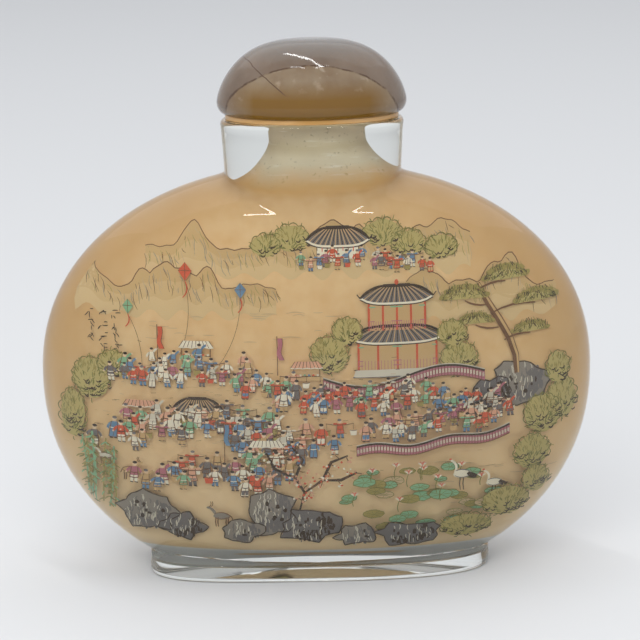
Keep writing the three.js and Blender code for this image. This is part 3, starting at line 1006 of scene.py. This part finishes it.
def front_painting():
    """A garden festival by a lotus lake, under far hills."""
    art = Painting(-1, 41)
    ridge(art, -26, 24, 53.0, 4.6, 49.0, "wash_deep")
    ridge(art, -37, -6, 46.5, 4.4, 43.0, "wash_deep")
    ridge(art, 14, 37, 45.5, 5.5, 41.5, "wash_deep")
    art.cover(0.01)
    ripples(art, -12, 41.5, 16, 2.6, 26)
    ripples(art, 26, 16, 9, 4, 22)
    thicket(art, (-3.5, 54.6, 2.6, 1.8), (10.5, 55.0, 3.0, 1.8), (14.5, 53.4, 2.6, 1.7),
            (-7.5, 53.6, 2.2, 1.5), (19.5, 52.6, 2.4, 1.6))
    eaves(art, 3.6, 53.4, 7.5, 2.6, 1.1)
    art.panel(0.4, 6.8, 51.6, 53.3, "cream", 5, 0.002)
    art.cover(0.01)
    for i in range(9):
        art.upright(0.4 + 0.8 * i, 51.6, 53.3, 0.15, "red" if i % 2 else "sepia", 0.8, 0.004)
    crowd(art, [(-2, 50.4), (8, 50.6), (18, 49.2)], 0.6, 20, 2.1, 1.1)
    rock(art, 31.5, 31.5, 4.6, 3.6)
    rock(art, 27.0, 30.2, 3.2, 2.4, "slate")
    pine(art, 31.0, 33.0, 14.0, -5.5, [(-8.0, 12.5, 3.6, 1.7), (-1.6, 14.8, 3.4, 1.7), (-6.4, 8.6, 2.8, 1.3),
                                       (3.0, 11.0, 3.2, 1.5), (2.2, 6.6, 2.8, 1.3)])
    thicket(art, (38, 28, 2.0, 3.4), (35, 26, 2.8, 3.0), (37.4, 33, 1.7, 2.4))
    pavilion(art, 12.5, 35.0, 12.0, 5, 2)
    thicket(art, (2.0, 37.5, 2.8, 2.8), (22.0, 36.0, 2.8, 2.6), (4.8, 41.0, 2.2, 2.0), (21.0, 40.0, 2.2, 1.9))
    garden_wall(art, [(1 + 25 * i / 26, 32.2 - 1.4 * math.sin(i / 4.2)) for i in range(27)], 1.6)
    kite(art, -20.0, 50.0, 1.5, "red", (-21.0, 37.5))
    kite(art, -11.5, 47.4, 1.3, "blue", (-15.0, 36.0))
    kite(art, -29.0, 44.5, 1.2, "green", (-27.0, 34.5))
    strokes_in_rows(art, -31.0, 43.2, 3, 5, 1.25)
    thicket(art, (-35, 33, 2.8, 3.2), (-38, 27, 1.8, 4.0), (-31.5, 35.5, 2.4, 2.0))
    ground_dots(art, -10, 28, 26, 9, 300)
    banner(art, -24.5, 36.0, 6.0, "red")
    banner(art, -6.0, 34.5, 6.0, "rose")
    stall(art, -18.5, 36.5, 4.4, "cream")
    stall(art, -1.5, 33.4, 4.0, "pink")
    crowd(art, [(-30, 33.5), (-20, 35), (-8, 31.5), (2, 29), (14, 29.4), (27, 27.6)], 1.7, 82, 2.7)
    stall(art, -27.5, 27.0, 4.6, "pink")
    eaves(art, -18.5, 28.2, 6.0, 2.6, 0.9)
    crowd(art, [(-31, 24), (-20, 26), (-10, 24), (0, 23)], 2.3, 54, 3.1, 1.8)
    stall(art, -8.0, 21.0, 4.6, "cream")
    banner(art, -14.5, 20.5, 6.5, "blue")
    bamboo(art, -34, 12, 12, 9)
    deer(art, -29.5, 18.6, 2.0, 1, "tan")
    deer(art, -33.2, 20.6, 1.7, -1, "mist")
    crowd(art, [(-26, 15.5), (-17, 18), (-7, 17)], 1.8, 26, 3.3, 2.0)
    rock(art, -27, 11.5, 4.6, 3.6)
    rock(art, -21.5, 9.4, 3.6, 2.4, "slate")
    deer(art, -15.2, 11.4, 2.2, -1, "grey")
    rock(art, -7.5, 12.4, 3.8, 4.4)
    rock(art, -1.6, 9.8, 4.6, 3.0, "slate")
    rock(art, -12.0, 8.8, 3.2, 1.9)
    blossom_tree(art, -3.0, 12.6, [[(0, 0), (0.8, 3), (-0.6, 5.5), (0.6, 8.5), (-1, 10.5)],
                                   [(0.8, 3), (3.6, 5), (5, 8), (7.6, 9)],
                                   [(-0.6, 5.5), (-3.8, 7), (-5, 9.6)], [(3.6, 5), (6.5, 5), (9, 6.2)]])
    lotus_pond(art, 15, 14.0, 12.5, 5.6)
    path = [(6 + 24 * i / 26, 21.5 + 2.0 * (i / 26) ** 2 + 0.4 * math.sin(i / 2.0)) for i in range(27)]
    garden_wall(art, path, 1.5)
    crowd(art, [(9, 24.6), (19, 25.0), (29, 26.5)], 1.0, 26, 2.8, 1.5)
    crane(art, 22.5, 17.6, 2.4, -1)
    crane(art, 27.6, 15.6, 2.2, -1)
    thicket(art, (33.6, 20, 2.8, 2.8), (29.4, 12, 3.6, 2.6), (34.2, 15.2, 2.0, 2.4), (23, 8.4, 4.0, 2.0))
    rock(art, 14.0, 7.8, 5.0, 2.0, "slate")
    rock(art, 6.0, 8.0, 3.4, 1.8)
    return art


def back_painting():
    """A plainer scene for the back: a pine and rocks by still water, a pavilion and a few walkers."""
    art = Painting(1, 17)
    ridge(art, -28, 20, 47.0, 6.0, 43.5, "tan")
    ridge(art, -6, 36, 40.0, 5.0, 37.5, "haze")
    ripples(art, 4, 30, 24, 5, 60)
    rock(art, -24, 20, 6.5, 4.4)
    rock(art, -16.5, 15.5, 5.4, 3.2, "slate")
    pine(art, -24, 22, 22, 8, [(2, 20, 5.2, 2.4), (9, 22.5, 4.6, 2.1), (14, 17.5, 4.6, 2.0),
                               (-5, 16, 4.4, 2.0), (9, 12.5, 4.0, 1.7)])
    pavilion(art, 18, 24, 10.0, 4, 1)
    thicket(art, (28, 24, 3.4, 3.6), (10, 24.5, 2.6, 2.4), (33, 20, 2.4, 3.6), (6, 9, 5.0, 2.4))
    ground_dots(art, 8, 16, 24, 6, 160)
    crowd(art, [(-8, 18), (6, 20), (24, 17)], 2.0, 22, 3.2, 2.2)
    lotus_pond(art, 14, 10.5, 13, 3.4)
    bamboo(art, -34, 14, 15, 7)
    strokes_in_rows(art, 26, 40.5, 3, 5, 1.3)
    return art


# ---------------------------------------------------------------- the stopper

CAP_SKIRT, CAP_UNDER, CAP_FLANK, CAP_CROWN = 1.9, 1.4, 1.5, 2.95
CAP_HALF_WIDTH, CAP_HALF_DEPTH = (CAP_HIGH.x - CAP_LOW.x) / 2, (CAP_HIGH.y - CAP_LOW.y) / 2
CAP_DOME_STEPS, CAP_HOLLOW_EDGE = 40, 3.0
COLLAR_HALF_WIDTH, COLLAR_HALF_DEPTH = (PLUG_HIGH.x - PLUG_LOW.x) / 2, (PLUG_HIGH.y - PLUG_LOW.y) / 2
COLLAR_EDGE, STOPPER_FLATNESS = 0.1, 0.8


def agate_cap(material):
    """A flat base, a skirt that turns out over it, and a dome to the top."""
    def inside(inset):
        return lambda a: reach(a, CAP_HALF_WIDTH - inset, CAP_HALF_DEPTH - inset)

    def shrunk(k):
        return lambda a: reach(a, CAP_HALF_WIDTH * k, CAP_HALF_DEPTH * k)

    swell = CAP_HIGH.z - CAP_LOW.z - CAP_SKIRT
    rings = [(CAP_LOW.z, None), (CAP_LOW.z, inside(CAP_HOLLOW_EDGE))]
    for t in quarter_turn(10):
        rings.append((CAP_LOW.z + CAP_SKIRT * (1 - math.cos(t)), inside(CAP_UNDER * (1 - math.sin(t)))))
    for i in range(1, CAP_DOME_STEPS + 1):
        k = math.cos(math.pi / 2 * i / (CAP_DOME_STEPS + 0.5))
        rings.append((CAP_LOW.z + CAP_SKIRT + swell * (1 - k ** CAP_CROWN) ** (1 / CAP_FLANK), shrunk(k)))
    rings.append((CAP_HIGH.z, None))
    return finished(loft(rings, 128, STOPPER_FLATNESS), "agate_cap", [material])


def collar_and_plug(material):
    """A round plug that widens upwards, under an oval collar."""
    rings = [(PLUG_LOW.z, None)]
    for z, r in ((PLUG_LOW.z, 3.3), (PLUG_LOW.z + 0.1, 3.7), (PLUG_LOW.z + 0.5, 4.0), (RIM - 0.05, 5.55)):
        rings.append((z, lambda t, r=r: reach(t, r, r)))
    top = PLUG_HIGH.z
    for z, inset in ((RIM + 0.02, COLLAR_EDGE), (RIM + 0.1, 0.0), (top - 0.1, 0.0), (top, COLLAR_EDGE)):
        a, b = COLLAR_HALF_WIDTH - inset, COLLAR_HALF_DEPTH - inset
        rings.append((z, lambda t, a=a, b=b: reach(t, a, b)))
    rings.append((top, None))
    return finished(loft(rings, 96, STOPPER_FLATNESS), "collar_and_plug", [material])


# ---------------------------------------------------------------- the studio

CAMERA_LENS, CAMERA_DISTANCE = 175.9, 0.4996
CAMERA_ABOVE, CAMERA_ROLL = math.radians(10.96), math.radians(1.05)
CAMERA_AIM_OFF = Vector((0.7, -0.5, -2.7)) * MM


def turned(place, aim):
    """The placement of a camera or lamp that stands at one place and faces another."""
    return Matrix.Translation(place) @ (aim - place).to_track_quat("-Z", "Y").to_matrix().to_4x4()


def camera():
    centre = (Vector(cad_bounds[0]) + Vector(cad_bounds[1])) / 2
    place = centre + CAMERA_DISTANCE * Vector((0, -math.cos(CAMERA_ABOVE), math.sin(CAMERA_ABOVE)))
    data = bpy.data.cameras.new("camera")
    data.lens = CAMERA_LENS
    data.sensor_width = 36
    data.clip_start = 0.01
    data.clip_end = 20
    cam = bpy.data.objects.new("camera", data)
    bpy.context.scene.collection.objects.link(cam)
    cam.matrix_world = turned(place, centre + CAMERA_AIM_OFF) @ Matrix.Rotation(-CAMERA_ROLL, 4, "Z")
    bpy.context.scene.camera = cam


def softbox(name, place, aim, size, power, mirrored=True):
    """A soft lamp. One that is not mirrored lights the scene but leaves no patch on the gloss."""
    data = bpy.data.lights.new(name, "AREA")
    data.shape = "RECTANGLE"
    data.size, data.size_y = size
    data.energy = power
    lamp = bpy.data.objects.new(name, data)
    bpy.context.scene.collection.objects.link(lamp)
    lamp.matrix_world = turned(Vector(place), Vector(aim))
    lamp.visible_glossy = mirrored


def studio_paper():
    """Seamless paper: smooth, matt and pale grey."""
    material, _ = new_material("studio_paper", {"Base Color": colour("D6D7D8"), "Roughness": 0.7})
    return material


def studio():
    world = bpy.data.worlds.new("studio")
    world.use_nodes = True
    surround = world.node_tree.nodes["Background"]
    surround.inputs["Color"].default_value = colour("F2F4F8")
    surround.inputs["Strength"].default_value = 0.79
    bpy.context.scene.world = world

    bm = bmesh.new()
    bmesh.ops.create_grid(bm, x_segments=1, y_segments=1, size=1.5)
    # the foot's polish keeps a film of air under it, without which it would not mirror
    bmesh.ops.translate(bm, verts=bm.verts, vec=(0, 0, -0.05 * MM))
    floor = finished(bm, "studio_floor", [studio_paper()])
    softbox("tent_top", (0.0, 0.45, 0.85), (0, 0.05, 0), (1.7, 1.0), 2.0)
    softbox("tent_front", (-0.15, -0.8, 0.6), (0, 0, 0.04), (0.8, 0.5), 5.8, False)
    softbox("strip_overhead", (-0.05, -0.03, 0.9), (0, 0, 0.06), (0.7, 0.03), 1.2)
    softbox("strip_left", (-0.15, -0.305, 0.86), (0, 0, 0.06), (0.20, 0.016), 0.14)
    softbox("strip_right", (0.12, -0.315, 0.86), (0, 0, 0.06), (0.18, 0.014), 0.11)
    view = bpy.context.scene.view_settings
    view.view_transform = "Standard"
    paths = bpy.context.scene.cycles
    paths.max_bounces = paths.transmission_bounces = 24
    paths.glossy_bounces = 12


# ---------------------------------------------------------------- assembly

camera()
studio()

glass = bottle_glass(clear_glass())
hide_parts("bottle")

skin = lining(inner_ground())
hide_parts("bottle")

paints = [brushed_colour(name, code) for name, code in PAINTS.items()]
painted = []
for art, name in ((front_painting(), "painting_front"), (back_painting(), "painting_back")):
    brushwork = art.dried(name, paints)
    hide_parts("bottle")
    painted.append(brushwork)

cap = agate_cap(agate())
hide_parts("stopper_cap")

plug = collar_and_plug(amber_horn())
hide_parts("stopper_plug")

for piece in (glass, skin, cap, plug, *painted):
    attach(piece, BODY_NAME)
